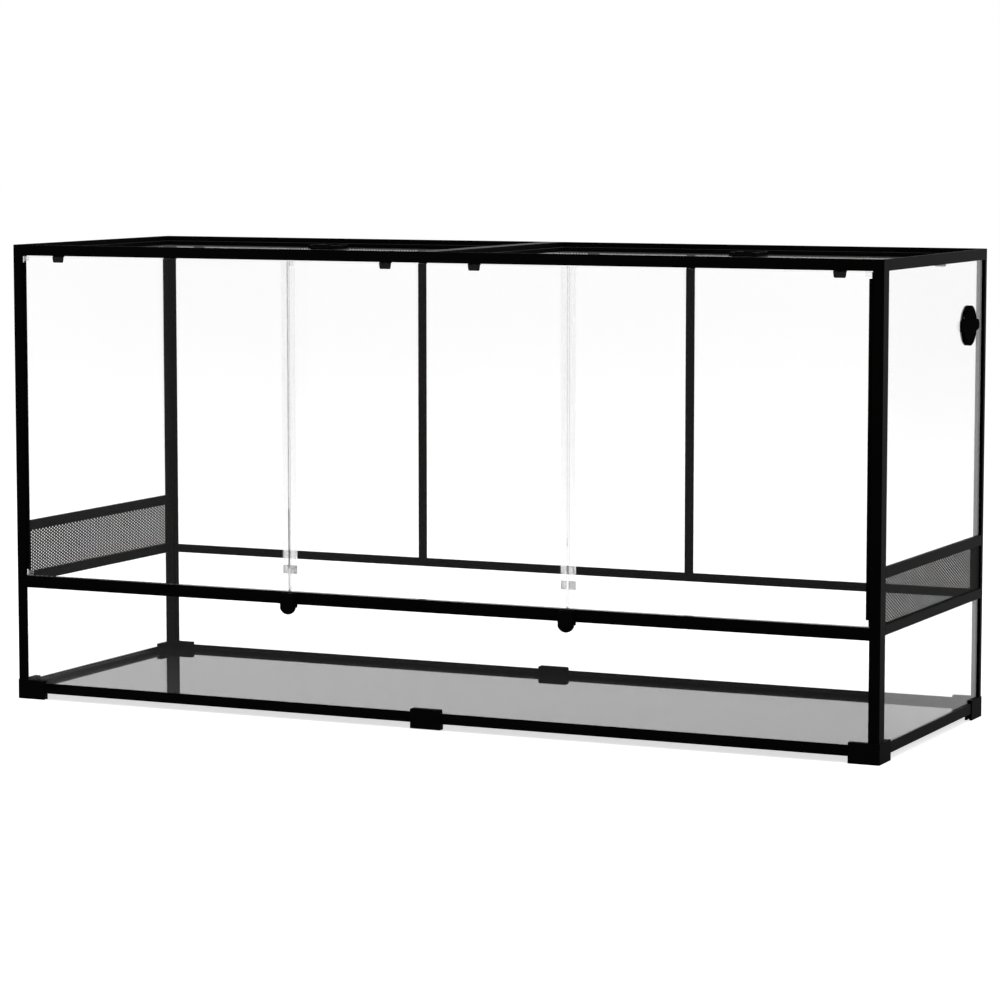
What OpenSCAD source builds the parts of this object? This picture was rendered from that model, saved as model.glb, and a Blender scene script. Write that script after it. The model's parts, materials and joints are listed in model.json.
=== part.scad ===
// Knock-down reptile terrarium: black frame profiles, clear panes, three hinged
// front doors, two turn latches, two lift-out mesh lids and a round side port.
// X is the width, -Y is the front with the doors, Z is up. Millimetres.

/* [Overall] */
// outer width over the frame profiles
frame_w = 1199.2; // [900:0.1:1500]
// outer depth over the frame profiles
frame_d = 399.6; // [320:0.1:600]
// height from the ground to the top rails
height = 600; // [500:1:800]
// how far the corner blocks stand proud of the profiles
block_proud = 1; // [0.6:0.1:2]

/* [Profiles] */
// wall thickness of every profile's outer leg
wall = 2.2; // [1.5:0.1:3]
// width of a front post's leg seen from the front
post_leg = 14; // [12:0.1:20]
// width of a front post's leg seen from the side
post_side_leg = 19; // [16:0.1:26]
// width of a rear post's leg seen from the rear
rear_leg = 15.6; // [12:0.1:20]
// width of a rear post's leg seen from the side
rear_side_leg = 8; // [6:0.1:20]
// how far the rear posts' inner lip reaches along the side panes
rear_lip = 23; // [16:0.1:30]
// thickness of the glass panes
glass = 4; // [3:0.5:5]
// where a profile's inner lip starts, behind the glass
lip_in = 6.4; // [5.6:0.1:8]
// where a profile's inner lip ends
lip_out = 8; // [7.4:0.1:10]
// height of the top rails
top_h = 14; // [10:0.1:20]
// depth of the ledge that carries the lids
ledge = 14; // [10:0.5:14]
// thickness of the ledges and webs
ledge_t = 2; // [1.5:0.1:3]
// depth of the bottom rails' web, which carries the floor pane
low_web = 16; // [12:0.5:20]
// rounding of the posts' outer corner
post_r = 1; // [0.5:0.1:2]
// how far the front posts' jambs reach behind the doors
jamb_d = 11.2; // [7:0.1:14]

// width of the rear dividers' inner flange
divider_w = 12.4; // [10:0.1:16]
// width of the rear dividers' outer flange
divider_out = 6.8; // [5:0.1:16]
// distance of the left rear divider from the middle
divider_l = 195.4; // [150:0.1:250]
// distance of the right rear divider from the middle
divider_r = 197.6; // [150:0.1:250]

/* [Levels] */
// underside of the bottom rails
low_z = 8.7; // [6:0.1:12]
// height of the bottom rails
low_h = 13.5; // [10:0.1:20]
// how far the bottom rails' inner lip stays below their outer leg
lip_drop = 4; // [0:0.1:5]
// underside of the front middle rail
mid_z = 148.7; // [120:0.1:180]
// height of the front middle rail
mid_h = 15.4; // [12:0.1:20]
// underside of the rear middle rail
rear_mid_z = 153.5; // [124:0.1:190]
// height of the rear middle rail
rear_mid_h = 11; // [9:0.1:16]
// underside of the side vents
vent_z = 153.7; // [124:0.1:190]
// height of the side vents' lower rail
vent_low_h = 12.5; // [12:0.1:18]
// underside of the side vents' upper rail
vent_top_z = 222; // [200:0.1:260]
// height of the side vents' upper rail
vent_top_h = 13; // [11:0.1:18]

/* [Blocks and couplings] */
// height of the corner blocks
block_h = 25.7; // [22:0.1:36]
// length of a block's arm along the front or rear
block_x = 39; // [30:1:60]
// length of a block's arm along the side
block_y = 41; // [30:1:60]
// underside of the posts, inside the blocks
foot_z = 6; // [4:0.5:8]
// depth of the blocks' arms and of the couplings
block_t = 8.6; // [8.2:0.1:12]
// gap between the two halves of a bottom rail, inside its coupling
rail_gap = 8; // [2:0.5:16]
// width of the couplings in the middle of the bottom rails
coupling_w = 42; // [30:1:60]
// top of the couplings
coupling_top = 26.6; // [24:0.1:34]
// rounding of the couplings' upper corners
coupling_r = 2.5; // [1:0.1:4]

/* [Doors] */
// distance of the joint between the left two doors from the middle
joint_l = 192.3; // [150:0.1:250]
// distance of the joint between the right two doors from the middle
joint_r = 195; // [150:0.1:250]
// gap between two doors
door_gap = 1.2; // [1:0.1:2]
// clearance under a door
door_low_gap = 1; // [0.8:0.1:2]
// front face of the door glass, behind the frame's front face
door_in = 0.4; // [0.2:0.1:1]
// distance of a pivot from its door's edge
pivot_in = 4.6; // [4:0.1:6]
// radius of the door pivots
pin_r = 1.5; // [1.2:0.1:2]
// width of a door's pivot shoes
shoe_w = 9; // [8:0.5:16]
// height of a door's pivot shoes
shoe_h = 6.5; // [5:0.5:12]
// running clearance round every pin and shaft
run = 0.05; // [0.02:0.01:0.1]
// width of the clear channel on a door's edge
strip_w = 9.6; // [6:0.1:14]
// thickness of the clear fittings on the glass
skin = 0.6; // [0.4:0.1:0.8]
// thickness of the channel's web past the glass
strip_web = 0.8; // [0.5:0.1:1.2]

/* [Latches] */
// width of a latch's tongue
tongue_w = 21.4; // [16:0.1:22]
// distance of a tongue's tip from its pivot
tongue_len = 20.1; // [16:0.1:24]
// rounding of a tongue's tip
tongue_r = 11.4; // [11:0.1:18]
// thickness of a latch's base plate
base_t = 3; // [2:0.1:4]
// thickness of a tongue's wide part
tongue_t = 2.8; // [2:0.1:3.5]
// radius of a latch's shaft
shaft_r = 3; // [2:0.1:4]
// how far a latch reaches above its pivot
latch_up = 7; // [6:0.1:8]
// how far a latch stands out of the frame
latch_out = 8; // [6:0.5:12]
// height of a latch's pivot
latch_z = 156; // [152:0.1:158]

/* [Lids] */
// width of a lid rim's long sides
rim_long = 17.2; // [17:0.1:24]
// width of a lid rim's ends
rim_end = 10; // [8:0.5:20]
// height of a lid's rim
rim_h = 5.7; // [4:0.1:8]
// thickness of the perforated sheets
sheet = 0.8; // [0.5:0.1:1.2]
// width of the bar between the lids
bar_w = 24; // [16:0.5:40]
// width of a lid's tabs
tab_w = 16.8; // [10:0.1:24]
// thickness of a lid's tabs
tab_t = 1.8; // [1.2:0.1:2.4]
// gap between a tab and the ledge that it hangs behind
tab_gap = 0.7; // [0.3:0.1:2]
// how far the tabs hang below the top rails
tab_drop = 9.2; // [6:0.1:16]
// distance of an outer tab from the frame's side
tab_outer = 60; // [40:0.5:90]
// distance of an inner tab from the middle
tab_inner = 61.5; // [40:0.5:90]
// distance of a cable inlet's middle from the rear
inlet_back = 75; // [60:1:120]

// openings of a lid's sheet across its width
cells_x = 12; // [2:1:12]
// openings of a lid's sheet from front to rear
cells_y = 8; // [2:1:12]
// width of the bars between a sheet's openings
cell_bar = 8; // [2:0.5:16]

/* [Port] */
// outer diameter of the side port
port_d = 50.6; // [40:0.2:70]
// height of the port's middle
port_z = 505.5; // [400:0.5:540]
// distance of the port's middle from the front
port_y = 334.5; // [260:0.5:340]
// diameter of the port's flange outside the pane
flange_d = 49; // [46:0.5:60]
// diameter of the port's barrel through the pane
thread_d = 41.8; // [36:0.2:45]
// clearance round the barrel
thread_gap = 0.8; // [0.4:0.1:1.6]
// thickness of the nut inside the pane
nut_t = 3; // [2:0.5:6]
// bore of the port
port_bore = 34; // [24:0.5:38]
// depth of the cap's plug behind the frame's face
plug_in = 3; // [2:0.1:5]
// span of the port cap's two finger lugs
lug_span = 72; // [60:1:90]
// width of a finger lug
lug_w = 14; // [10:0.5:20]
// how far the port's cap stands out of the frame
port_out = 0.3; // [0:0.1:1]

/* [Hidden] */
$fn = 48;
x0 = -frame_w / 2;
x1 = x0 + frame_w;
y0 = -(frame_d + block_proud - latch_out) / 2;
y1 = y0 + frame_d;
xm = (x0 + x1) / 2;
ledge_z = height - top_h;
ledge_top = ledge_z + ledge_t;
mid_top = mid_z + mid_h;
floor_z = low_z + ledge_t;
pane_in = wall;
pane_out = wall + glass;
floor_in = lip_out + 0.8;
vent_web = vent_z + 6.8;
vent_up_web = vent_top_z + 4.8;
rear_web = rear_mid_z + 4.6;
rear_mid_top = rear_mid_z + rear_mid_h;
door_z0 = mid_top + door_low_gap;
door_z1 = ledge_z - door_low_gap;
door_mid = door_in + glass / 2;
flange_t = 1.2;
cap_in = flange_t - pane_in + 0.1;
hinge_l = x0 + post_leg + 1 + pivot_in;
hinge_m = xm - joint_l + door_gap / 2 + pivot_in;
hinge_r = x1 - post_leg - 1 - pivot_in;
col = [0.03, 0.03, 0.032];
clear = [0.8, 0.88, 0.9, 0.35];

// a box from its low corner to its high corner
module box(a, b) {
    translate(a) cube(b - a);
}

// puts a piece drawn for the front left corner at one of the four corners
module corner(side, back) {
    translate([side ? x1 : x0, back ? y1 : y0, 0])
        mirror([side ? 1 : 0, 0, 0])
            mirror([0, back ? 1 : 0, 0])
                children();
}

// runs a section drawn as (distance from the outer face, height) along X
module along_x(a, b, back) {
    translate([a, back ? y1 : y0, 0])
        mirror([0, back ? 1 : 0, 0])
            rotate([90, 0, 90])
                linear_extrude(b - a) children();
}

// the same along Y, for a side
module along_y(a, b, side) {
    translate([side ? x1 : x0, b, 0])
        mirror([side ? 1 : 0, 0, 0])
            rotate([90, 0, 0])
                linear_extrude(b - a) children();
}

// rectangle between two corners
module rect(a, b) {
    translate(a) square(b - a);
}

module rounded(a, b, r) {
    translate([a[0] + r, a[1]]) square([b[0] - a[0] - 2 * r, b[1] - a[1]]);
    translate([a[0], a[1] + r]) square([b[0] - a[0], b[1] - a[1] - 2 * r]);
    for (x = [a[0] + r, b[0] - r], y = [a[1] + r, b[1] - r])
        translate([x, y]) circle(r);
}

// ---------------------------------------------------------------- posts
module post_section(leg, side_leg) {
    intersection() {
        translate([post_r, post_r]) circle(post_r);
        square(post_r);
    }
    rect([post_r, 0], [leg, wall]);
    rect([0, post_r], [wall, side_leg]);
}

module front_post(side) {
    color(col) corner(side, false) {
        translate([0, 0, foot_z]) linear_extrude(height - foot_z)
            post_section(post_leg, post_side_leg);
        // jamb beside the door
        box([post_leg - 4, wall, mid_top], [post_leg, jamb_d, ledge_z]);
    }
}

module rear_post(side) {
    color(col) corner(side, true) {
        translate([0, 0, foot_z]) linear_extrude(height - foot_z)
            post_section(rear_leg, rear_side_leg);
        // lip inside the side panes and the vent, interrupted at the vent's rails
        box([lip_in, wall, block_h], [lip_out, rear_lip, vent_z]);
        box([lip_in, wall, vent_z + vent_low_h], [lip_out, rear_lip, vent_top_z]);
        box([lip_in, wall, vent_top_z + vent_top_h], [lip_out, rear_lip, ledge_z]);
    }
}

module post_front_left() {
    front_post(false);
}

module post_front_right() {
    front_post(true);
}

module post_rear_left() {
    rear_post(false);
}

module post_rear_right() {
    rear_post(true);
}

// ---------------------------------------------------------------- top rails
module top_section() {
    rect([0, ledge_z], [wall, height]);
    rect([0, ledge_z], [ledge, ledge_top]);
}

module pivot_hole(x, z) {
    translate([x, y0 + door_mid, z]) cylinder(h = 2.2, r = pin_r + run);
}

module rail_top_front() {
    color(col) difference() {
        along_x(x0 + post_leg, x1 - post_leg, false) top_section();
        for (x = [hinge_l, hinge_m, hinge_r])
            pivot_hole(x, ledge_z - 0.2);
    }
}

module rail_top_rear() {
    color(col) along_x(x0 + rear_leg, x1 - rear_leg, true) top_section();
}

module rail_top_left() {
    color(col) along_y(y0 + post_side_leg, y1 - rear_side_leg, false) top_section();
}

module rail_top_right() {
    color(col) along_y(y0 + post_side_leg, y1 - rear_side_leg, true) top_section();
}

module bar_top() {
    color(col) difference() {
        box([xm - bar_w / 2, y0 + wall, ledge_top], [xm + bar_w / 2, y1 - wall, height]);
        box([xm - bar_w / 2 + 3, y0, ledge_top - 1], [xm + bar_w / 2 - 3, y1, height - 3]);
    }
}

// ---------------------------------------------------------------- middle rails
module rail_mid_front() {
    color(col) difference() {
        along_x(x0 + post_leg, x1 - post_leg, false) {
            rect([0, mid_z], [wall, mid_top]);
            rect([0, mid_top - ledge_t], [ledge, mid_top]);
            rect([lip_in, mid_z], [lip_out, mid_top]);
        }
        for (x = [hinge_l, hinge_m, hinge_r])
            pivot_hole(x, mid_top - 1.9);
    }
}

module rail_mid_rear() {
    color(col) along_x(x0 + rear_leg, x1 - rear_leg, true) {
        rect([0, rear_mid_z], [wall, rear_mid_top]);
        rect([0, rear_web], [lip_out, rear_web + 1.6]);
        rect([lip_in, rear_mid_z], [lip_out, rear_mid_top]);
    }
}

module divider(x) {
    color(col) translate([x, y1, 0]) linear_extrude(ledge_z - rear_mid_top)
        mirror([0, 1, 0]) {
            rect([-divider_out / 2, 0], [divider_out / 2, wall]);
            rect([-1, 0], [1, lip_out]);
            rect([-divider_w / 2, lip_in], [divider_w / 2, lip_out]);
        }
}

module divider_rear_left() {
    translate([0, 0, rear_mid_top]) divider(xm - divider_l);
}

module divider_rear_right() {
    translate([0, 0, rear_mid_top]) divider(xm + divider_r);
}

// ---------------------------------------------------------------- side vents
module vent_frame(side) {
    color(col) along_y(y0 + post_side_leg, y1 - rear_side_leg, side) {
        rect([0, vent_z], [wall, vent_z + vent_low_h]);
        rect([0, vent_web], [lip_out, vent_web + ledge_t]);
        rect([lip_in, vent_z], [lip_out, vent_z + vent_low_h]);
        rect([0, vent_top_z], [wall, vent_top_z + vent_top_h]);
        rect([0, vent_up_web], [lip_out, vent_up_web + ledge_t]);
        rect([lip_in, vent_top_z], [lip_out, vent_top_z + vent_top_h]);
    }
}

module vent_frame_left() {
    vent_frame(false);
}

module vent_frame_right() {
    vent_frame(true);
}

module vent_mesh(side) {
    color([0.25, 0.25, 0.26]) along_y(y0 + lip_out, y1 - lip_out, side)
        rect([wall, vent_web + ledge_t], [wall + sheet, vent_up_web]);
}

module vent_mesh_left() {
    vent_mesh(false);
}

module vent_mesh_right() {
    vent_mesh(true);
}

// ---------------------------------------------------------------- bottom rails
module low_section() {
    rect([0, low_z], [wall, low_z + low_h]);
    rect([0, low_z], [low_web, floor_z]);
    rect([lip_in, low_z], [lip_out, low_z + low_h - lip_drop]);
}

module low_rail_x(back) {
    color(col) {
        along_x(x0 + block_x, xm - rail_gap / 2, back) low_section();
        along_x(xm + rail_gap / 2, x1 - block_x, back) low_section();
    }
}

module rail_bottom_front() {
    low_rail_x(false);
}

module rail_bottom_rear() {
    low_rail_x(true);
}

module rail_bottom_left() {
    color(col) along_y(y0 + block_y, y1 - block_y, false) low_section();
}

module rail_bottom_right() {
    color(col) along_y(y0 + block_y, y1 - block_y, true) low_section();
}

// ---------------------------------------------------------------- corner blocks
module block_plan() {
    translate([1, 1]) circle(1 + block_proud);
    rect([1, -block_proud], [block_x, block_t]);
    rect([-block_proud, 1], [block_t, block_y]);
}

module block(side, back) {
    color(col) corner(side, back) difference() {
        linear_extrude(block_h) block_plan();
        // pocket for the post's foot
        box([0, 0, foot_z], [back ? rear_leg : post_leg, wall, block_h + 1]);
        box([0, 0, foot_z], [wall, back ? rear_side_leg : post_side_leg, block_h + 1]);
        // slots for the panes
        box([pane_in, pane_in, floor_z], [block_x + 1, lip_in, block_h + 1]);
        box([pane_in, pane_in, floor_z], [lip_in, block_y + 1, block_h + 1]);
        // groove under both arms
        box([2.6, 2.6, -1], [6, block_y + 1, 2]);
        box([2.6, 2.6, -1], [block_x + 1, 6, 2]);
    }
}

module block_front_left() {
    block(false, false);
}

module block_front_right() {
    block(true, false);
}

module block_rear_left() {
    block(false, true);
}

module block_rear_right() {
    block(true, true);
}

// ---------------------------------------------------------------- couplings
module coupling(back) {
    color(col) difference() {
        translate([xm, back ? y1 : y0, 0]) mirror([0, back ? 1 : 0, 0])
            translate([0, block_t, 0]) rotate([90, 0, 0])
                linear_extrude(block_t + block_proud) coupling_face();
        along_x(xm - coupling_w, xm - rail_gap / 2, back) low_section();
        along_x(xm + rail_gap / 2, xm + coupling_w, back) low_section();
        along_x(xm - coupling_w, xm + coupling_w, back)
            rect([pane_in, floor_z], [lip_in, coupling_top + 1]);
    }
}

module coupling_face() {
    half = coupling_w / 2;
    rect([-half, 1], [half, coupling_top - coupling_r]);
    rect([coupling_r - half, 2], [half - coupling_r, coupling_top]);
    for (x = [-1, 1])
        translate([x * (half - coupling_r), coupling_top - coupling_r]) circle(coupling_r);
}

module coupling_front() {
    coupling(false);
}

module coupling_rear() {
    coupling(true);
}

// ---------------------------------------------------------------- panes
module floor_pane() {
    color(clear)
        box([x0 + floor_in, y0 + floor_in, floor_z], [x1 - floor_in, y1 - floor_in, floor_z + glass]);
}

module pane_x(a, b, z0, z1, back) {
    color(clear) along_x(a, b, back) rect([pane_in, z0], [pane_out, z1]);
}

module pane_y(z0, z1, side) {
    color(clear) along_y(y0 + pane_in, y1 - pane_in, side) rect([pane_in, z0], [pane_out, z1]);
}

module pane_front_lower() {
    pane_x(x0 + lip_in, x1 - lip_in, floor_z, mid_top - ledge_t, false);
}

module pane_rear_lower() {
    pane_x(x0 + lip_out, x1 - lip_out, floor_z, rear_web, true);
}

module pane_left_lower() {
    pane_y(floor_z, vent_web, false);
}

module pane_right_lower() {
    pane_y(floor_z, vent_web, true);
}

module pane_left_upper() {
    pane_y(vent_up_web + ledge_t, ledge_z, false);
}

module pane_right_upper() {
    difference() {
        pane_y(vent_up_web + ledge_t, ledge_z, true);
        port_at() cylinder(h = 40, d = thread_d + thread_gap, center = true);
    }
}

module pane_rear_left() {
    pane_x(x0 + lip_out, xm - divider_l - 1, rear_web + 1.6, ledge_z, true);
}

module pane_rear_middle() {
    pane_x(xm - divider_l + 1, xm + divider_r - 1, rear_web + 1.6, ledge_z, true);
}

module pane_rear_right() {
    pane_x(xm + divider_r + 1, x1 - lip_out, rear_web + 1.6, ledge_z, true);
}

// ---------------------------------------------------------------- side port
module port_at() {
    translate([x1, y0 + port_y, port_z]) rotate([0, 90, 0]) children();
}

module port_body() {
    color(col) port_at() difference() {
        union() {
            translate([0, 0, -pane_in]) cylinder(h = flange_t, d = flange_d);
            translate([0, 0, -pane_out - nut_t]) cylinder(h = glass + nut_t + 1, d = thread_d);
        }
        translate([0, 0, -pane_out - nut_t - 1]) cylinder(h = 20, d = port_bore);
    }
}

module port_nut() {
    color(col) port_at() translate([0, 0, -pane_out - nut_t]) difference() {
        cylinder(h = nut_t, d = port_d);
        translate([0, 0, -1]) cylinder(h = nut_t + 2, d = thread_d + thread_gap);
    }
}

module port_cap() {
    color(col) port_at() {
        translate([0, 0, -plug_in]) cylinder(h = plug_in + cap_in, d = port_bore - 2 * run);
        translate([0, 0, cap_in]) linear_extrude(port_out - cap_in) {
            circle(d = port_d);
            square([lug_w, lug_span - lug_w], center = true);
            for (y = [-1, 1])
                translate([0, y * (lug_span - lug_w) / 2]) circle(d = lug_w);
        }
    }
}

// ---------------------------------------------------------------- doors
module door(a, b) {
    color(clear) box([a, y0 + door_in, door_z0], [b, y0 + door_in + glass, door_z1]);
}

module door_left() {
    door(x0 + post_leg + 1, xm - joint_l - door_gap / 2 - strip_web);
}

module door_middle() {
    door(xm - joint_l + door_gap / 2 + strip_web, xm + joint_r - door_gap / 2 - strip_web);
}

module door_right() {
    door(xm + joint_r + door_gap / 2 + strip_web, x1 - post_leg - 1);
}

// clear channel round a door's edge at x, open to the side dir
module strip(x, dir, z_low, z_high) {
    translate([x, y0, 0]) mirror([dir < 0 ? 1 : 0, 0, 0]) difference() {
        box([0, door_in - skin, z_low], [strip_w, door_in + glass + skin, z_high]);
        box([strip_web, door_in, z_low - 1], [strip_w + 1, door_in + glass, z_high + 1]);
    }
}

module pin(reach) {
    translate([0, 0, -reach]) cylinder(h = reach, r = pin_r);
}

// pivot shoes at the top and the bottom of a door's hinged edge
module pivots(x) {
    for (up = [false, true])
        translate([x, y0 + door_mid, up ? door_z1 : door_z0]) mirror([0, 0, up ? 1 : 0]) {
            pin(door_low_gap + (up ? 1.2 : 1.7));
            difference() {
                translate([-pivot_in, -glass / 2 - skin, -0.5])
                    cube([shoe_w, glass + 2 * skin, shoe_h]);
                translate([-pivot_in - 1, -glass / 2, 0]) cube([shoe_w + 2, glass, shoe_h]);
            }
        }
}

module door_left_fittings() {
    color(clear) {
        strip(xm - joint_l - door_gap / 2, -1, door_z0 + 1.5, door_z1 - 0.6);
        pivots(hinge_l);
    }
}

module door_middle_fittings() {
    color(clear) {
        strip(xm - joint_l + door_gap / 2, 1, door_z0 + shoe_h, door_z1 - shoe_h);
        strip(xm + joint_r - door_gap / 2, -1, door_z0 + 1.5, door_z1 - 0.6);
        pivots(hinge_m);
    }
}

module door_right_fittings() {
    color(clear) {
        strip(xm + joint_r + door_gap / 2, 1, door_z0 + 1.5, door_z1 - 0.6);
        translate([2 * hinge_r, 0, 0]) mirror([1, 0, 0]) pivots(hinge_r);
    }
}

// ---------------------------------------------------------------- latches
module latch_at(x) {
    translate([x, y0, latch_z]) rotate([90, 0, 0]) children();
}

module latch_base(x) {
    color(col) latch_at(x) difference() {
        linear_extrude(base_t)
            rounded([-tongue_w / 2 - 1, mid_z - latch_z - 4], [tongue_w / 2 + 1, latch_up], 1.5);
        translate([0, 0, -1]) cylinder(h = base_t + 2, r = shaft_r + run);
    }
}

module latch_base_left() {
    latch_base(xm - joint_l);
}

module latch_base_right() {
    latch_base(xm + joint_r);
}

// outline of a tongue that hangs down, drawn in by inset
module tongue_face(inset) {
    half = tongue_w / 2 - inset;
    tip = tongue_r - tongue_len;
    intersection() {
        translate([0, tip]) circle(tongue_r - inset);
        rect([-half, -tongue_len], [half, 0]);
    }
    rect([-half, tip], [half, latch_up - inset]);
}

module latch(x) {
    color(col) latch_at(x) {
        translate([0, 0, 0.3]) cylinder(h = base_t + 1, r = shaft_r);
        translate([0, 0, base_t + 0.2]) linear_extrude(tongue_t) tongue_face(0);
        translate([0, 0, base_t + 0.2 + tongue_t])
            linear_extrude(latch_out - tongue_t - base_t - 0.2) tongue_face(2);
    }
}

module latch_left() {
    latch(xm - joint_l);
}

module latch_right() {
    latch(xm + joint_r);
}

// ---------------------------------------------------------------- lids
// a lid's outline: side 0 is the left lid, 1 the right lid
function lid_a(side) = side ? xm + bar_w / 2 + 0.2 : x0 + wall + 0.2;
function lid_b(side) = side ? x1 - wall - 0.2 : xm - bar_w / 2 - 0.2;
function lid_c(side) = (lid_a(side) + lid_b(side)) / 2;
lid_y0 = y0 + wall + 0.2;
lid_y1 = y1 - wall - 0.2;
inlet_y = y1 - inlet_back;

module lid_rim(side) {
    a = lid_a(side);
    b = lid_b(side);
    color(col) difference() {
        box([a, lid_y0, ledge_top], [b, lid_y1, ledge_top + rim_h]);
        box([a + rim_end, lid_y0 + rim_long, 0], [b - rim_end, lid_y1 - rim_long, height]);
        box([a + rim_end - 3, lid_y0 + rim_long - 3, ledge_top - 1],
            [b - rim_end + 3, lid_y1 - rim_long + 3, ledge_top + sheet]);
    }
}

// one hanging tab, slightly narrower at its lower end, its rear face at y
module tab(x, y) {
    half = tab_w / 2;
    low = -ledge_t - tab_drop;
    translate([x, y, ledge_top]) rotate([90, 0, 0]) linear_extrude(tab_t)
        polygon([[-half, 0], [-half, -3.5], [1 - half, low + 1], [2 - half, low],
            [half - 2, low], [half - 1, low + 1], [half, -3.5], [half, 0]]);
}

// four clips under a lid's rim keep it in its place on the ledges
module lid_clips(side) {
    color(col) for (x = side ? [xm + tab_inner, x1 - tab_outer] : [x0 + tab_outer, xm - tab_inner]) {
        tab(x, y0 + ledge + tab_gap + tab_t);
        tab(x, y1 - ledge - tab_gap);
    }
}

module lid_clips_left() {
    lid_clips(false);
}

module lid_clips_right() {
    lid_clips(true);
}

module lid_rim_left() {
    lid_rim(false);
}

module lid_rim_right() {
    lid_rim(true);
}

// the sheet's openings: a coarse grid that stands for its fine holes
module lid_cells(side) {
    dx = (lid_b(side) - lid_a(side) - 2 * rim_end) / cells_x;
    dy = (lid_y1 - lid_y0 - 2 * rim_long) / cells_y;
    for (i = [0:cells_x - 1], j = [0:cells_y - 1]) {
        x = lid_a(side) + rim_end + (i + 0.5) * dx;
        y = lid_y0 + rim_long + (j + 0.5) * dy;
        // the inlet keeps a closed rim round it
        if (abs(x - lid_c(side)) > dx / 2 + 20 || abs(y - inlet_y) > dy / 2 + 25)
            box([x - (dx - cell_bar) / 2, y - (dy - cell_bar) / 2, ledge_top - 1],
                [x + (dx - cell_bar) / 2, y + (dy - cell_bar) / 2, ledge_top + sheet + 1]);
    }
}

module lid_mesh(side) {
    c = lid_c(side);
    color([0.25, 0.25, 0.26]) difference() {
        box([lid_a(side) + rim_end - 3, lid_y0 + rim_long - 3, ledge_top],
            [lid_b(side) - rim_end + 3, lid_y1 - rim_long + 3, ledge_top + sheet]);
        box([c - 16, inlet_y - 21, 0], [c + 16, inlet_y + 21, height]);
        lid_cells(side);
    }
}

module lid_mesh_left() {
    lid_mesh(false);
}

module lid_mesh_right() {
    lid_mesh(true);
}

// a cable inlet's plate, clamped through the sheet, with two guides on top
module inlet(side) {
    c = lid_c(side);
    s = ledge_top + sheet;
    color(col) {
        difference() {
            union() {
                box([c - 18, inlet_y - 24, s], [c + 18, inlet_y + 24, s + 2]);
                box([c - 16, inlet_y - 21, ledge_top - 1], [c + 16, inlet_y + 21, s + 1]);
                box([c - 18, inlet_y - 24, ledge_top - 1.5], [c + 18, inlet_y + 24, ledge_top]);
            }
            box([c - 12, inlet_y - 15, 0], [c + 12, inlet_y + 15, height]);
        }
        for (d = [-1, 1])
            difference() {
                box([c + d * 16.5 - 1.5, inlet_y - 24, s + 1.8], [c + d * 16.5 + 1.5, inlet_y + 24, s + 5]);
                box([c - 15.8, inlet_y - 25, s + 2], [c + 15.8, inlet_y + 25, s + 3.9]);
            }
    }
}

module inlet_left() {
    inlet(false);
}

module inlet_right() {
    inlet(true);
}

module shutter(side) {
    c = lid_c(side);
    s = ledge_top + sheet + 2;
    color(col) {
        box([c - 15.6, inlet_y - 19, s], [c + 15.6, inlet_y + 19, s + 1.7]);
        box([c - 12, inlet_y - 17, s + 1.5], [c + 12, inlet_y - 14, s + 3.6]);
    }
}

module shutter_left() {
    shutter(false);
}

module shutter_right() {
    shutter(true);
}

post_front_left();
post_front_right();
post_rear_left();
post_rear_right();
rail_top_front();
rail_top_rear();
rail_top_left();
rail_top_right();
bar_top();
rail_mid_front();
rail_mid_rear();
divider_rear_left();
divider_rear_right();
vent_frame_left();
vent_frame_right();
rail_bottom_front();
rail_bottom_rear();
rail_bottom_left();
rail_bottom_right();
block_front_left();
block_front_right();
block_rear_left();
block_rear_right();
coupling_front();
coupling_rear();
floor_pane();
pane_front_lower();
pane_rear_lower();
pane_left_lower();
pane_right_lower();
pane_left_upper();
pane_right_upper();
pane_rear_left();
pane_rear_middle();
pane_rear_right();
vent_mesh_left();
vent_mesh_right();
port_body();
port_nut();
port_cap();
door_left();
door_middle();
door_right();
door_left_fittings();
door_middle_fittings();
door_right_fittings();
latch_base_left();
latch_base_right();
latch_left();
latch_right();
lid_rim_left();
lid_rim_right();
lid_clips_left();
lid_clips_right();
lid_mesh_left();
lid_mesh_right();
inlet_left();
inlet_right();
shutter_left();
shutter_right();
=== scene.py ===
"""Looks of a knock-down reptile terrarium, laid out as a Blender add-on.

The CAD frame gives every place. Profiles and mouldings get softened edges, the lids
get real perforated sheet, the outer doors get a black seal on their
hinged edges, and the panes get clear float glass over a dark floor pane. The floor
pane's dark tint is partly the glass's own tint and partly painted shade: it darkens
the floor seen through it to the shade under the tank.
"""

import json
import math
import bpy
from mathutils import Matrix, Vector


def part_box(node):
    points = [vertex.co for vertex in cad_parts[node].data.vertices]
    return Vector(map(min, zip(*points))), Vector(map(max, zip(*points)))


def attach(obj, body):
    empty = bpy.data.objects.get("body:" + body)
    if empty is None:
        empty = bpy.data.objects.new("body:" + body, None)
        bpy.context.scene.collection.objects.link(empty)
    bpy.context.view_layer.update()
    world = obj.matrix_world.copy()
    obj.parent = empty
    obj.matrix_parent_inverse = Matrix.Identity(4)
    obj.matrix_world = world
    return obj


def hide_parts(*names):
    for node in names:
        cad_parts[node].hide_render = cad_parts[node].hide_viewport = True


bl_info = {
    "name": "Reptile terrarium",
    "version": (1, 0, 0),
    "blender": (4, 5, 0),
    "location": "View3D > Sidebar > Terrarium",
    "description": "Dresses the terrarium frame with glass, perforated sheet and black profiles",
    "category": "Add Mesh",
}

import bmesh
import bpy
from mathutils import Matrix, Vector

# an edge of a CAD piece that bends more than this is sharp and gets softened
SHARP_ANGLE = math.radians(40)
# faces of a CAD piece that bend less than this are joined into one
FLAT_ANGLE = math.radians(1)
# vertices of a CAD piece closer than this, in metres, are one
SAME_PLACE = 1e-6

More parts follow.
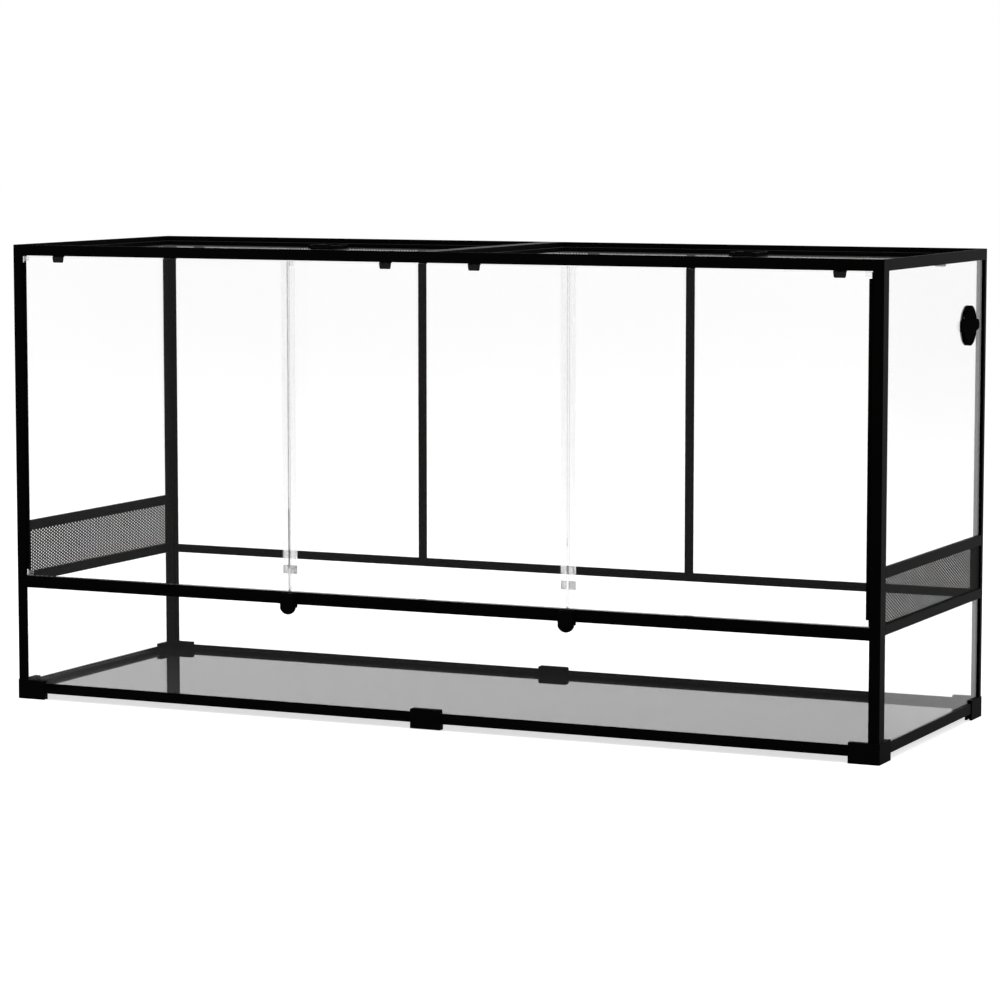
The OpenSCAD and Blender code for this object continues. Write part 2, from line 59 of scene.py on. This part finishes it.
# tone changes of a black coat: scale, and depth as a share of the colour
CLOUD_SCALE = 14.0
CLOUD_DEPTH = 0.5
# how much a black coat's roughness varies, and its grain's strength and height in metres
ROUGH_SPREAD = 0.12
GRAIN_STRENGTH = 0.12
GRAIN_HEIGHT = 0.0002
# tint of the clear panes, and how far a pane's tint drifts, as a share of it
PANE_TINT = (0.99, 0.99, 0.99)
DRIFT_DEPTH = 0.02

# how far a lid's sheet reaches under the rim of its cable inlet
INLET_LAP = 0.002
# length of a door's hinged edge that is left bare at each end, for the pivot shoes
SEAL_SHORT = 0.008

# half the floor's width, the share of light that it scatters, and the light that it adds
FLOOR_SIZE = 30
FLOOR_MATT = 0.6
FLOOR_GLOW = 0.68
# how far from the middle the mirrored light changes: on the floor, in metres, and as a
# direction in the surroundings
FLOOR_REACH = 0.7
SKY_REACH = 0.3
# name, place, point aimed at, size and share of the lamp power
LAMPS = (
    ("overhead", (0, -0.4, 3.2), (0, 0, 0.2), 4.0, 1.0),
    ("right", (3.6, -0.8, 1.8), (0, 0, 0.3), 2.4, 0.35),
    ("front_left", (-2.6, -3.6, 2.2), (0, 0, 0.3), 2.4, 0.3),
)

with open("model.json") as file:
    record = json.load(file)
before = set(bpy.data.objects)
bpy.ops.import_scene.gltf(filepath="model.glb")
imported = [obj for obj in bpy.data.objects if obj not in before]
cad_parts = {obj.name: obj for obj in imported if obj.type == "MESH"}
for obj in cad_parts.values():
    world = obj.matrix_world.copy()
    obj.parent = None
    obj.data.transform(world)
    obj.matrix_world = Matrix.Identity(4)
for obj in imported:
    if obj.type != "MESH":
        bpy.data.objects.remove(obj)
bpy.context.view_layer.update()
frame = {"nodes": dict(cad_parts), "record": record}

SLOTS = {part["node"]: part["material_slot"] for part in frame["record"]["subparts"]}


def nodes_in(slot):
    """The CAD nodes that take their finish from a material slot of the record."""
    return [node for node, name in SLOTS.items() if name == slot]


# ------------------------------------------------------------------ shader maths
class Value:
    """A socket that takes part in Python expressions."""

    def __init__(self, graph, socket):
        self.graph = graph
        self.socket = socket

    def _op(self, operation, a, b):
        return self.graph.node("ShaderNodeMath", {"operation": operation}, {0: a, 1: b})

    def __add__(self, other):
        return self._op("ADD", self, other)

    def __radd__(self, other):
        return self._op("ADD", other, self)

    def __sub__(self, other):
        return self._op("SUBTRACT", self, other)

    def __rsub__(self, other):
        return self._op("SUBTRACT", other, self)

    def __mul__(self, other):
        return self._op("MULTIPLY", self, other)

    def __rmul__(self, other):
        return self._op("MULTIPLY", other, self)


class Graph:
    """The node tree of a material or of the world."""

    def __init__(self, owner, kind="ShaderNodeOutputMaterial"):
        owner.use_nodes = True
        self.owner = owner
        self.tree = owner.node_tree
        self.tree.nodes.clear()
        self.out = self.tree.nodes.new(kind)

    def node(self, kind, settings=None, sockets=None, output=0):
        """Adds a node: its settings first, then the values or links of its sockets."""
        made = self.tree.nodes.new(kind)
        for key, value in (settings or {}).items():
            setattr(made, key, value)
        for key, value in (sockets or {}).items():
            socket = made.inputs[key]
            if isinstance(value, Value):
                self.tree.links.new(value.socket, socket)
            else:
                socket.default_value = value
        return Value(self, made.outputs[output])

    def finish(self, shader):
        """Links the shader to the output and gives the material or world back."""
        self.tree.links.new(shader.socket, self.out.inputs["Surface"])
        return self.owner

    def place(self, scale=(1, 1, 1)):
        """Object coordinates, in metres, stretched by scale."""
        where = self.node("ShaderNodeTexCoord", output="Object")
        return self.node("ShaderNodeMapping", {}, {"Vector": where, "Scale": scale})

    def toned(self, colour, tone):
        """A colour made lighter or darker by a pattern."""
        tones = self.node("ShaderNodeCombineColor", {}, {0: tone, 1: tone, 2: tone})
        return self.node("ShaderNodeMix", {"data_type": "RGBA", "blend_type": "MULTIPLY"},
                         {0: 1.0, 6: (*colour, 1.0), 7: tones}, output=2)

    def ray(self, kind):
        """1 where the ray that meets the surface is of that kind."""
        return self.node("ShaderNodeLightPath", output="Is " + kind + " Ray")

    def mirrored(self):
        """1 where the ray has been mirrored on its way, also inside a pane."""
        depth = self.node("ShaderNodeLightPath", output="Glossy Depth")
        return self.node("ShaderNodeMath", {"operation": "MINIMUM"}, {0: depth, 1: 1.0})

    def mirror_light(self, where, reach, stage):
        """What glass mirrors: darker on the camera's side and a little on the right."""
        across = self.node("ShaderNodeSeparateXYZ", {}, {0: where}, output=0)
        ahead = self.node("ShaderNodeSeparateXYZ", {}, {0: where}, output=1)
        return (self.range(ahead, -reach, reach, stage.camera_side, stage.open_light)
                * self.range(across, -reach, reach, 1.0, stage.right_share))

    def range(self, value, low, high, to_low, to_high):
        """Carries value from low..high to to_low..to_high and clamps it there."""
        return self.node("ShaderNodeMapRange", {}, {
            "Value": value, "From Min": low, "From Max": high,
            "To Min": to_low, "To Max": to_high})


def new_material(name):
    """The empty node tree of a new material."""
    return Graph(bpy.data.materials.new(name))


def grey(value):
    """A solid grey for a colour socket."""
    return (value, value, value, 1.0)


# ------------------------------------------------------------------ settings
class FinishSettings(bpy.types.PropertyGroup):
    """Colours and gloss of the terrarium's materials."""

    profile_colour: bpy.props.FloatVectorProperty(
        name="Profile colour", description="Powder coat of the frame profiles",
        subtype="COLOR", size=3, min=0, max=1, default=(0.0012, 0.0011, 0.0011))
    profile_roughness: bpy.props.FloatProperty(
        name="Profile roughness", description="Satin of the powder coat",
        min=0, max=1, default=0.42)
    gloss: bpy.props.FloatProperty(
        name="Gloss", description="Strength of the black pieces' sheen",
        min=0, max=1, default=0.018)
    moulding_colour: bpy.props.FloatVectorProperty(
        name="Moulding colour", description="Black plastic of blocks, latches and port",
        subtype="COLOR", size=3, min=0, max=1, default=(0.0014, 0.0013, 0.0013))
    glass_ior: bpy.props.FloatProperty(
        name="Glass IOR", description="Strength of the panes' reflections",
        min=1, max=1.6, default=1.5)
    # dark tint of the floor pane, partly its own tint and partly painted shade: it darkens the
    # floor seen through it to the shade under the tank
    floor_tint_and_shade: bpy.props.FloatVectorProperty(
        name="Floor glass tint", description="What the dark floor pane lets through",
        subtype="COLOR", size=3, min=0, max=1, default=(0.02, 0.02, 0.02))
    sheet_colour: bpy.props.FloatVectorProperty(
        name="Sheet colour", description="Coating of the perforated sheets",
        subtype="COLOR", size=3, min=0, max=1, default=(0.012, 0.012, 0.012))


class SizeSettings(bpy.types.PropertyGroup):
    """Sizes of the details."""

    edge: bpy.props.FloatProperty(
        name="Edge radius", description="Softening of the profiles' edges",
        subtype="DISTANCE", min=0.0001, max=0.002, default=0.00035)
    moulding_edge: bpy.props.FloatProperty(
        name="Moulding edge radius", description="Softening of the mouldings' edges",
        subtype="DISTANCE", min=0.0001, max=0.002, default=0.0003)
    pitch: bpy.props.FloatProperty(
        name="Hole pitch", description="Distance between two holes of the sheet",
        subtype="DISTANCE", min=0.002, max=0.01, default=0.0041)
    hole: bpy.props.FloatProperty(
        name="Hole radius", description="Radius of the sheets' holes",
        subtype="DISTANCE", min=0.0004, max=0.0019, default=0.00115)
    sheet: bpy.props.FloatProperty(
        name="Sheet thickness", description="Thickness of the vents' sheets",
        subtype="DISTANCE", min=0.0002, max=0.0008, default=0.0003)
    seal: bpy.props.FloatProperty(
        name="Door seal", description="Width of the seal on the outer doors' hinged edges",
        subtype="DISTANCE", min=0.001, max=0.008, default=0.0034)
    skin: bpy.props.FloatProperty(
        name="Seal thickness", description="Thickness of the seals on the doors",
        subtype="DISTANCE", min=0.0001, max=0.0004, default=0.0003)


class StageSettings(bpy.types.PropertyGroup):
    """Camera, floor and lights."""

    camera_place: bpy.props.FloatVectorProperty(
        name="Camera place", description="Where the camera stands",
        subtype="TRANSLATION", size=3, default=(1.9836, -4.2251, 0.7622))
    camera_down: bpy.props.FloatProperty(
        name="Camera tilt", description="How far the camera looks down",
        subtype="ANGLE", default=math.radians(5.9972))
    camera_turn: bpy.props.FloatProperty(
        name="Camera turn", description="How far the camera looks left of the depth axis",
        subtype="ANGLE", default=math.radians(25.0143))
    lens: bpy.props.FloatProperty(
        name="Lens", description="Focal length in millimetres", min=20, max=300, default=130.24)
    open_light: bpy.props.FloatProperty(
        name="Open side", description="Brightness that glass mirrors from behind the object",
        min=0, max=2, default=1.1)
    right_share: bpy.props.FloatProperty(
        name="Right share", description="Share of that brightness on the right",
        min=0, max=1, default=0.68)
    camera_side: bpy.props.FloatProperty(
        name="Camera side", description="Brightness that glass mirrors from the camera's side",
        min=0, max=2, default=0.15)
    fill: bpy.props.FloatProperty(
        name="Fill", description="Brightness of the surroundings as a light",
        min=0, max=2, default=0.55)
    seen_through: bpy.props.FloatProperty(
        name="Seen through", description="Brightness of the surroundings behind glass",
        min=0, max=2, default=1.22)
    lamp_power: bpy.props.FloatProperty(
        name="Lamp power", description="Power of the overhead soft box",
        subtype="POWER", min=0, max=2000, default=95)


# ------------------------------------------------------------------ materials
def satin_black(name, colour, roughness, speckle, gloss):
    """Black coat with a fine orange-peel bump and tone changes; speckle is its scale."""
    g = new_material(name)
    where = g.place()
    cloud = g.node("ShaderNodeTexNoise", {}, {
        "Vector": where, "Scale": CLOUD_SCALE, "Detail": 3.0})
    grain = g.node("ShaderNodeTexNoise", {}, {
        "Vector": where, "Scale": speckle, "Detail": 2.0})
    base = g.toned(colour, cloud * CLOUD_DEPTH + (1 - CLOUD_DEPTH / 2))
    rough = grain * ROUGH_SPREAD + (roughness - ROUGH_SPREAD / 2)
    bump = g.node("ShaderNodeBump", {}, {
        "Strength": GRAIN_STRENGTH, "Distance": GRAIN_HEIGHT, "Height": grain})
    return g.finish(g.node("ShaderNodeBsdfPrincipled", {}, {
        "Base Color": base, "Roughness": rough, "Normal": bump, "Specular IOR Level": gloss}))


def pane_glass(name, tint, ior):
    """Clear glass that lets lamp light through instead of casting a black shadow."""
    g = new_material(name)
    drift = g.node("ShaderNodeTexNoise", {}, {
        "Vector": g.place(), "Scale": 3.0, "Detail": 1.0})
    colour = g.toned(tint, drift * DRIFT_DEPTH + (1 - DRIFT_DEPTH))
    glass = g.node("ShaderNodeBsdfPrincipled", {}, {
        "Base Color": colour, "Roughness": 0.0, "IOR": ior, "Transmission Weight": 1.0})
    through = g.node("ShaderNodeBsdfTransparent", {}, {"Color": (*tint, 1.0)})
    return g.finish(g.node("ShaderNodeMixShader", {}, {
        0: g.ray("Shadow"), 1: glass, 2: through}))


def clear_plastic(name, veil):
    """Thin clear extrusion: nearly all light passes, with a faint grey veil."""
    g = new_material(name)
    streak = g.node("ShaderNodeTexNoise", {}, {
        "Vector": g.place((1, 1, 0.05)), "Scale": 260.0, "Detail": 2.0})
    return g.finish(g.node("ShaderNodeBsdfPrincipled", {}, {
        "Base Color": grey(0.45), "Roughness": streak * 0.1 + 0.2, "Alpha": veil,
        "Specular IOR Level": 0.2}))


# every material by the name that the steps use for it
MATERIALS = {}


def make_materials(finish):
    """Makes every material from the settings."""
    MATERIALS["profile"] = satin_black(
        "satin_powder_coat", finish.profile_colour, roughness=finish.profile_roughness,
        speckle=1800.0, gloss=finish.gloss)
    MATERIALS["moulding"] = satin_black(
        "black_moulding", finish.moulding_colour, roughness=0.5, speckle=2600.0,
        gloss=finish.gloss)
    MATERIALS["cap"] = satin_black(
        "port_moulding", finish.moulding_colour, roughness=0.7, speckle=2600.0,
        gloss=finish.gloss * 0.1)
    MATERIALS["seal"] = satin_black(
        "black_seal", finish.moulding_colour, roughness=0.8, speckle=900.0, gloss=0.0)
    MATERIALS["sheet"] = satin_black(
        "coated_sheet", finish.sheet_colour, roughness=0.5, speckle=3000.0,
        gloss=finish.gloss)
    MATERIALS["glass"] = pane_glass("float_glass", PANE_TINT, finish.glass_ior)
    # the floor pane's dark tint is partly painted shade: it darkens the floor seen through it to
    # the shade under the tank
    MATERIALS["floor_glass"] = pane_glass("dark_glass", finish.floor_tint_and_shade, finish.glass_ior)
    MATERIALS["channel"] = clear_plastic("clear_channel", veil=0.05)


# ------------------------------------------------------------------ mesh helpers
def piece_from(bm, name, material, body, replaces=()):
    """Turns a bmesh into a finished piece that rides on a body."""
    mesh = bpy.data.meshes.new(name)
    bm.to_mesh(mesh)
    bm.free()
    piece = bpy.data.objects.new(name, mesh)
    bpy.context.scene.collection.objects.link(piece)
    mesh.materials.append(MATERIALS[material])
    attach(piece, body)
    if replaces:
        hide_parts(*replaces)
    return piece


def body_with(node):
    """The body that a CAD node rides on."""
    for name, nodes in frame["record"]["behaviour"]["bodies"].items():
        if node in nodes:
            return name
    raise RuntimeError("no body holds " + node)


def softened(node, radius, material):
    """A copy of a CAD node with its sharp edges rounded."""
    bm = bmesh.new()
    bm.from_mesh(frame["nodes"][node].data)
    bmesh.ops.remove_doubles(bm, verts=bm.verts, dist=SAME_PLACE)
    bmesh.ops.dissolve_limit(bm, angle_limit=FLAT_ANGLE, verts=bm.verts, edges=bm.edges)
    sharp = [e for e in bm.edges
             if len(e.link_faces) == 2 and e.calc_face_angle(0) > SHARP_ANGLE]
    bmesh.ops.bevel(bm, geom=sharp, offset=radius, segments=2, profile=0.5,
                    affect="EDGES", clamp_overlap=True, material=-1)
    piece = piece_from(bm, node + "_soft", material, body_with(node), [node])
    for face in piece.data.polygons:
        face.use_smooth = False
    return piece


def everything(bm):
    """All vertices, edges and faces."""
    return list(bm.verts) + list(bm.edges) + list(bm.faces)


def trim(bm, axis, limit):
    """Drops what lies past limit along an axis."""
    over = [v for v in bm.verts if getattr(v.co, axis) > limit]
    bmesh.ops.delete(bm, geom=over, context="VERTS")


def repeated(bm, count, step):
    """Doubles everything in bm along step until there are at least count copies."""
    done = 1
    while done < count:
        made = bmesh.ops.duplicate(bm, geom=everything(bm))["geom"]
        verts = [v for v in made if isinstance(v, bmesh.types.BMVert)]
        bmesh.ops.translate(bm, verts=verts, vec=Vector(step) * done)
        done *= 2


def perforated(width, height, pitch, hole):
    """A flat sheet of holes in the XY plane, every second row shifted by half a pitch."""
    bm = bmesh.new()
    # a hexagon one pitch wide, stretched so that the rows are one pitch apart
    cell = bmesh.ops.create_circle(bm, segments=6, radius=pitch / math.sqrt(3))["verts"]
    bmesh.ops.scale(bm, vec=(1, 2 / math.sqrt(3), 1), verts=cell)
    bmesh.ops.create_circle(bm, segments=6, radius=hole)
    bmesh.ops.bridge_loops(bm, edges=bm.edges)
    # a few cells more than the sheet needs, for the cuts at the end
    repeated(bm, width / pitch + 3, (pitch, 0, 0))
    trim(bm, "x", width + 3 * pitch)
    second = bmesh.ops.duplicate(bm, geom=everything(bm))["geom"]
    shifted = [v for v in second if isinstance(v, bmesh.types.BMVert)]
    bmesh.ops.translate(bm, verts=shifted, vec=(pitch / 2, pitch, 0))
    repeated(bm, height / pitch / 2 + 2, (0, 2 * pitch, 0))
    trim(bm, "y", height + 4 * pitch)
    bmesh.ops.translate(bm, verts=bm.verts, vec=(-width / 2 - pitch, -height / 2 - pitch, 0))
    # joins each cell to the ones beside it
    bmesh.ops.remove_doubles(bm, verts=bm.verts, dist=pitch * 0.02)
    for at in ((width / 2, 0, 0), (-width / 2, 0, 0), (0, height / 2, 0), (0, -height / 2, 0)):
        bmesh.ops.bisect_plane(bm, geom=everything(bm), dist=1e-7, plane_co=at,
                               plane_no=Vector(at).normalized(), clear_outer=True)
    return bm


def thickened(bm, vec):
    """Turns a flat sheet into a closed plate that reaches from it along vec."""
    made = bmesh.ops.extrude_face_region(bm, geom=bm.faces[:])["geom"]
    bmesh.ops.translate(bm, verts=[v for v in made if isinstance(v, bmesh.types.BMVert)], vec=vec)
    bmesh.ops.recalc_face_normals(bm, faces=bm.faces)


# ------------------------------------------------------------------ operators
class TERRARIUM_OT_profiles(bpy.types.Operator):
    """Soften the aluminium profiles' edges and coat them black"""

    bl_idname = "terrarium.profiles"
    bl_label = "Frame profiles"

    def execute(self, context):
        sizes = context.scene.terrarium_sizes
        for node in nodes_in("black_profile"):
            softened(node, sizes.edge, "profile")
        return {"FINISHED"}


class TERRARIUM_OT_mouldings(bpy.types.Operator):
    """Soften the black mouldings: blocks, couplings, latches, lids and port"""

    bl_idname = "terrarium.mouldings"
    bl_label = "Mouldings"

    def execute(self, context):
        sizes = context.scene.terrarium_sizes
        for node in nodes_in("black_plastic"):
            finish = "cap" if node == "port_cap" else "moulding"
            softened(node, sizes.moulding_edge, finish)
        return {"FINISHED"}


class TERRARIUM_OT_panes(bpy.types.Operator):
    """Give the panes, doors and clear channels their glass"""

    bl_idname = "terrarium.panes"
    bl_label = "Panes and doors"

    def execute(self, context):
        for slot, material in (("clear_glass", "glass"), ("floor_glass", "floor_glass"),
                               ("clear_plastic", "channel")):
            for node in nodes_in(slot):
                mesh = frame["nodes"][node].data
                mesh.materials.clear()
                mesh.materials.append(MATERIALS[material])
        return {"FINISHED"}


class TERRARIUM_OT_sheets(bpy.types.Operator):
    """Punch the sheets of the lids and the side vents"""

    bl_idname = "terrarium.sheets"
    bl_label = "Perforated sheets"

    def execute(self, context):
        sizes = context.scene.terrarium_sizes
        for side in ("left", "right"):
            self.lid(side, sizes)
            self.vent(side, sizes)
        return {"FINISHED"}

    def lid(self, side, sizes):
        """A flat punched sheet, left out inside the cable inlet's rim."""
        node = "lid_mesh_" + side
        low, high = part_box(node)
        inlet_low, inlet_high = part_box("inlet_" + side)
        bm = perforated(high.x - low.x, high.y - low.y, sizes.pitch, sizes.hole)
        bmesh.ops.translate(bm, verts=bm.verts, vec=(low + high) / 2)
        inside = [f for f in bm.faces
                  if inlet_low.x + INLET_LAP < f.calc_center_median().x
                  < inlet_high.x - INLET_LAP
                  and inlet_low.y + INLET_LAP < f.calc_center_median().y
                  < inlet_high.y - INLET_LAP]
        bmesh.ops.delete(bm, geom=inside, context="FACES")
        piece_from(bm, "punched_lid_" + side, "sheet", "lid_" + side, [node])

    def vent(self, side, sizes):
        """A punched plate with a real thickness, because it is seen at a slant."""
        node = "vent_mesh_" + side
        low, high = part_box(node)
        bm = perforated(high.z - low.z, high.y - low.y, sizes.pitch, sizes.hole)
        thickened(bm, (0, 0, sizes.sheet))
        bmesh.ops.transform(bm, matrix=Matrix.Rotation(math.radians(-90), 4, "Y"), verts=bm.verts)
        bmesh.ops.translate(bm, verts=bm.verts, vec=(low + high) / 2)
        piece_from(bm, "punched_vent_" + side, "sheet", "frame", [node])


class TERRARIUM_OT_seals(bpy.types.Operator):
    """Fold a black seal over the outer doors' hinged edges"""

    bl_idname = "terrarium.seals"
    bl_label = "Door seals"

    def execute(self, context):
        sizes = context.scene.terrarium_sizes
        for side, way in (("left", 1), ("right", -1)):
            low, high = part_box("door_" + side)
            edge = low.x if way > 0 else high.x
            bm = bmesh.new()
            # a leaf on the door's front, one on its back and one over its edge
            for front, back, reach in (
                    (low.y - sizes.skin, low.y, sizes.seal),
                    (high.y, high.y + sizes.skin, sizes.seal),
                    (low.y - sizes.skin, high.y + sizes.skin, -sizes.skin)):
                self.leaf(bm, Vector((edge, front, low.z + SEAL_SHORT)),
                          Vector((edge + way * reach, back, high.z - SEAL_SHORT)))
            bmesh.ops.bevel(bm, geom=bm.edges[:], offset=sizes.skin * 0.3, segments=2,
                            profile=0.5, affect="EDGES", material=-1)
            piece_from(bm, "door_seal_" + side, "seal", "door_" + side)
        return {"FINISHED"}

    def leaf(self, bm, one, other):
        """A flat bar between two corners."""
        made = bmesh.ops.create_cube(bm, size=1)["verts"]
        span = other - one
        bmesh.ops.scale(bm, vec=[abs(side) for side in span], verts=made)
        bmesh.ops.translate(bm, vec=(one + other) / 2, verts=made)


class TERRARIUM_OT_stage(bpy.types.Operator):
    """Set the floor, the lights, the white surroundings and the camera"""

    bl_idname = "terrarium.stage"
    bl_label = "Stage"

    def execute(self, context):
        stage = context.scene.terrarium_stage
        self.floor(stage)
        self.lamps(stage)
        self.world(stage)
        camera = bpy.data.objects.new("camera", bpy.data.cameras.new("camera"))
        context.scene.collection.objects.link(camera)
        camera.location = stage.camera_place
        camera.rotation_euler = (math.pi / 2 - stage.camera_down, 0, stage.camera_turn)
        camera.data.lens = stage.lens
        camera.data.sensor_width = 36
        camera.data.clip_end = 100
        context.scene.camera = camera
        context.scene.view_settings.view_transform = "Standard"
        return {"FINISHED"}

    def floor(self, stage):
        """White to the camera but for the shadow; glass mirrors the surroundings' light."""
        bm = bmesh.new()
        bmesh.ops.create_grid(bm, x_segments=1, y_segments=1, size=FLOOR_SIZE)
        mesh = bpy.data.meshes.new("floor")
        bm.to_mesh(mesh)
        bm.free()
        floor = bpy.data.objects.new("floor", mesh)
        bpy.context.scene.collection.objects.link(floor)
        g = new_material("pale_floor")
        mirror = g.mirrored()
        through = g.ray("Transmission") * (1 - mirror) * stage.seen_through
        direct = g.node("ShaderNodeMath", {"operation": "MAXIMUM"},
                        {0: g.ray("Camera"), 1: through})
        matt = g.node("ShaderNodeBsdfDiffuse", {}, {"Color": grey(FLOOR_MATT)})
        glow = g.node("ShaderNodeEmission", {}, {
            "Color": grey(1), "Strength": direct * FLOOR_GLOW})
        seen = g.node("ShaderNodeAddShader", {}, {0: matt, 1: glow})
        reflected = g.node("ShaderNodeEmission", {}, {
            "Color": grey(1), "Strength": g.mirror_light(g.place(), FLOOR_REACH, stage)})
        mesh.materials.append(g.finish(g.node("ShaderNodeMixShader", {}, {
            0: mirror, 1: seen, 2: reflected})))

    def lamps(self, stage):
        """Soft boxes, each turned to the point that it is aimed at."""
        for name, place, aim, size, share in LAMPS:
            lamp = bpy.data.lights.new(name, "AREA")
            lamp.size = size
            lamp.energy = stage.lamp_power * share
            made = bpy.data.objects.new(name, lamp)
            bpy.context.scene.collection.objects.link(made)
            made.location = place
            aim_at = Vector(aim) - Vector(place)
            made.rotation_euler = aim_at.to_track_quat("-Z", "Y").to_euler()

    def world(self, stage):
        """White to the camera and behind glass, and a plain fill light for the object."""
        world = bpy.data.worlds.new("surroundings")
        bpy.context.scene.world = world
        g = Graph(world, "ShaderNodeOutputWorld")
        way = g.node("ShaderNodeTexCoord", output="Generated")
        camera, mirror = g.ray("Camera"), g.mirrored()
        through = g.ray("Transmission") * (1 - mirror)
        fill = (1 - camera) * (1 - through) * (1 - mirror) * stage.fill
        strength = (camera + through * stage.seen_through + fill
                    + mirror * g.mirror_light(way, SKY_REACH, stage))
        g.finish(g.node("ShaderNodeBackground", {}, {"Color": grey(1), "Strength": strength}))


class TERRARIUM_PT_panel(bpy.types.Panel):
    """Lists the terrarium's pieces and settings"""

    bl_idname = "TERRARIUM_PT_panel"
    bl_label = "Terrarium"
    bl_space_type = "VIEW_3D"
    bl_region_type = "UI"
    bl_category = "Terrarium"

    def draw(self, context):
        scene = context.scene
        for group in (scene.terrarium_finish, scene.terrarium_sizes, scene.terrarium_stage):
            box = self.layout.box()
            for key in group.__annotations__:
                box.prop(group, key)
        for step in STEPS:
            self.layout.operator(step.bl_idname)


STEPS = (
    TERRARIUM_OT_profiles,
    TERRARIUM_OT_mouldings,
    TERRARIUM_OT_panes,
    TERRARIUM_OT_sheets,
    TERRARIUM_OT_seals,
    TERRARIUM_OT_stage,
)
GROUPS = (FinishSettings, SizeSettings, StageSettings)


def register():
    for cls in GROUPS + STEPS + (TERRARIUM_PT_panel,):
        bpy.utils.register_class(cls)
    bpy.types.Scene.terrarium_finish = bpy.props.PointerProperty(type=FinishSettings)
    bpy.types.Scene.terrarium_sizes = bpy.props.PointerProperty(type=SizeSettings)
    bpy.types.Scene.terrarium_stage = bpy.props.PointerProperty(type=StageSettings)


def unregister():
    del bpy.types.Scene.terrarium_stage
    del bpy.types.Scene.terrarium_sizes
    del bpy.types.Scene.terrarium_finish
    for cls in reversed(GROUPS + STEPS + (TERRARIUM_PT_panel,)):
        bpy.utils.unregister_class(cls)


def main():
    """Runs every step."""
    register()
    make_materials(bpy.context.scene.terrarium_finish)
    for step in STEPS:
        area, name = step.bl_idname.split(".")
        getattr(getattr(bpy.ops, area), name)()


if __name__ == "__main__":
    main()
